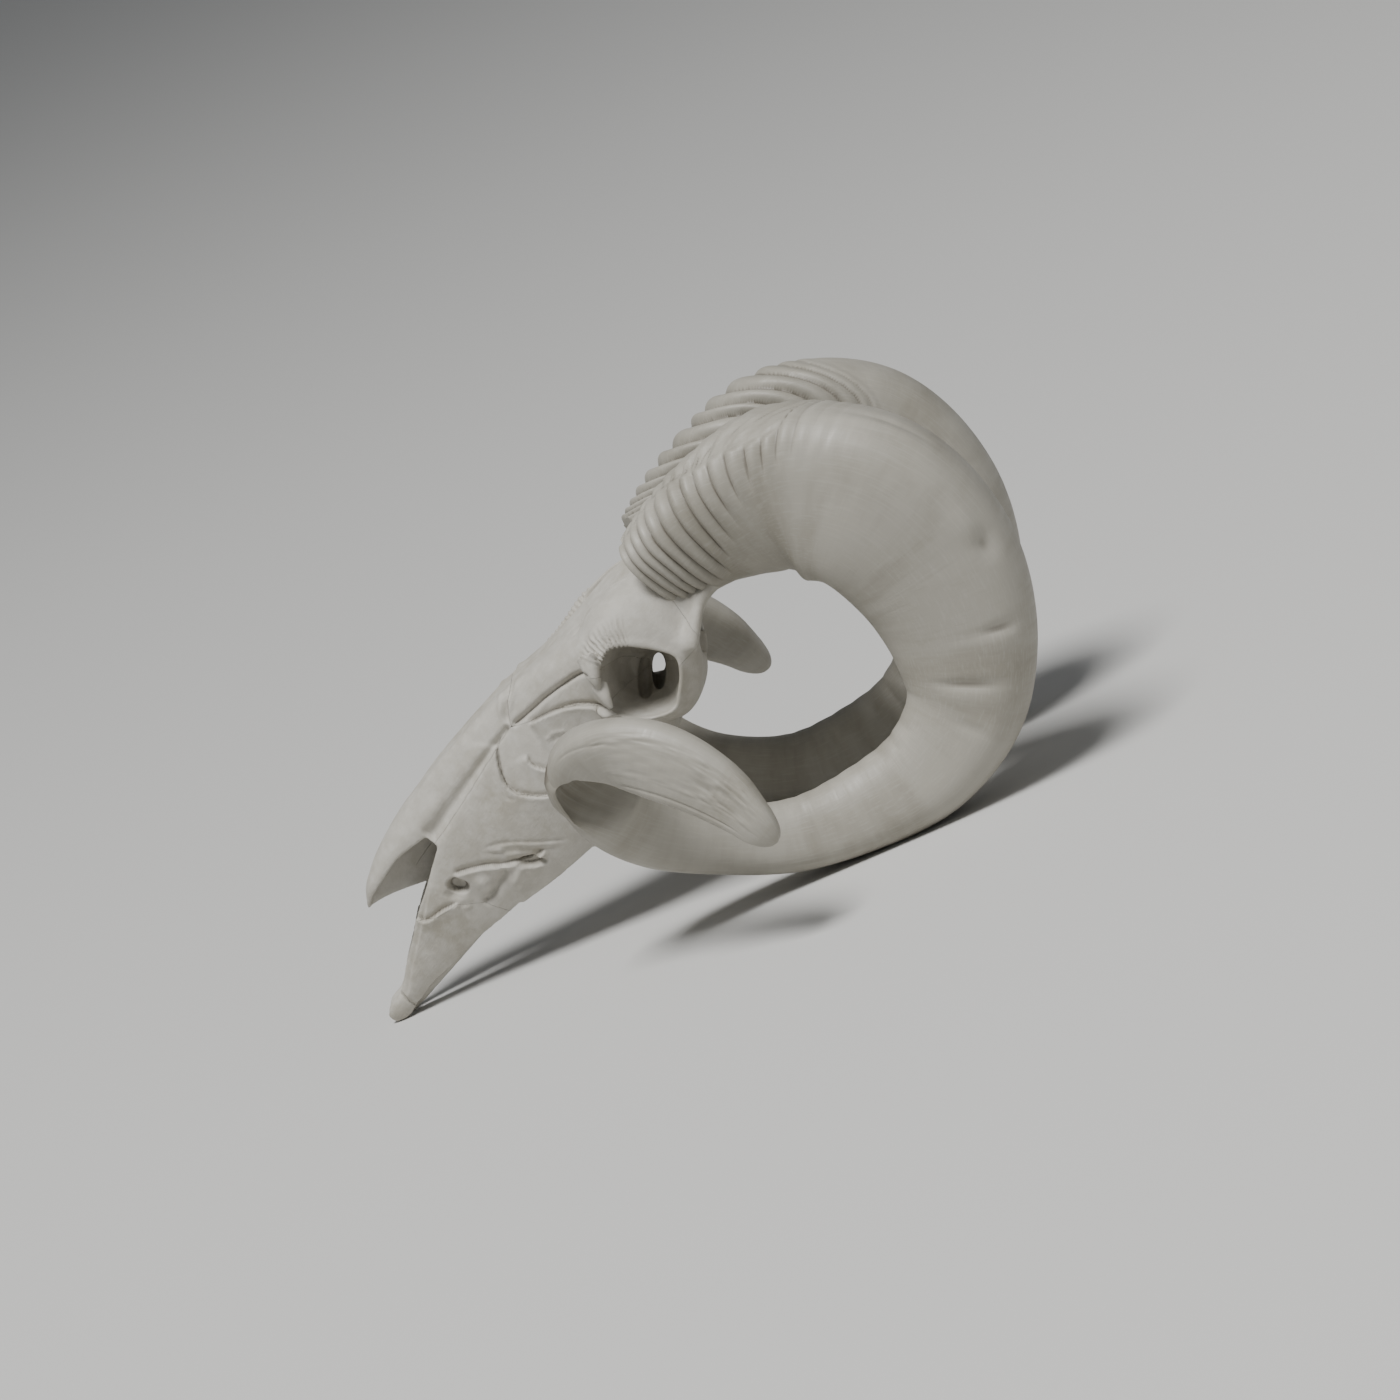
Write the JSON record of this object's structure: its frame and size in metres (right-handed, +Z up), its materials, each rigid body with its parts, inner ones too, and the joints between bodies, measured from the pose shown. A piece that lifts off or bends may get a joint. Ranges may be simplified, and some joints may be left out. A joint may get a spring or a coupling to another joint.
{
  "type": "ram skull with curled horns",
  "caption": "Life-size horned ram skull without its lower jaw, lying nose down on the tips of the snout and the undersides of both curled horns.",
  "frame": {"origin": "centre of the bounding box on the floor that the skull lies on", "axes": "+Z up from the floor, -X towards the nose, +Y to the skull's right side, with the skull's plane of symmetry at y = 0"},
  "size_m": [0.3896, 0.3804, 0.221],
  "materials": {
    "bone": "matte, weathered",
    "horn": "satin, weathered"
  },
  "bodies": {
    "root": {"braincase": "bone", "frontal_left": "bone", "frontal_right": "bone", "lacrimal_left": "bone", "lacrimal_right": "bone", "zygomatic_left": "bone", "zygomatic_right": "bone", "nasal_left": "bone", "nasal_right": "bone", "maxilla_left": "bone", "maxilla_right": "bone", "premaxilla_left": "bone", "premaxilla_right": "bone", "incisive_tip_left": "bone", "incisive_tip_right": "bone", "horn_left": "horn", "horn_right": "horn"}
  },
  "joints": []
}
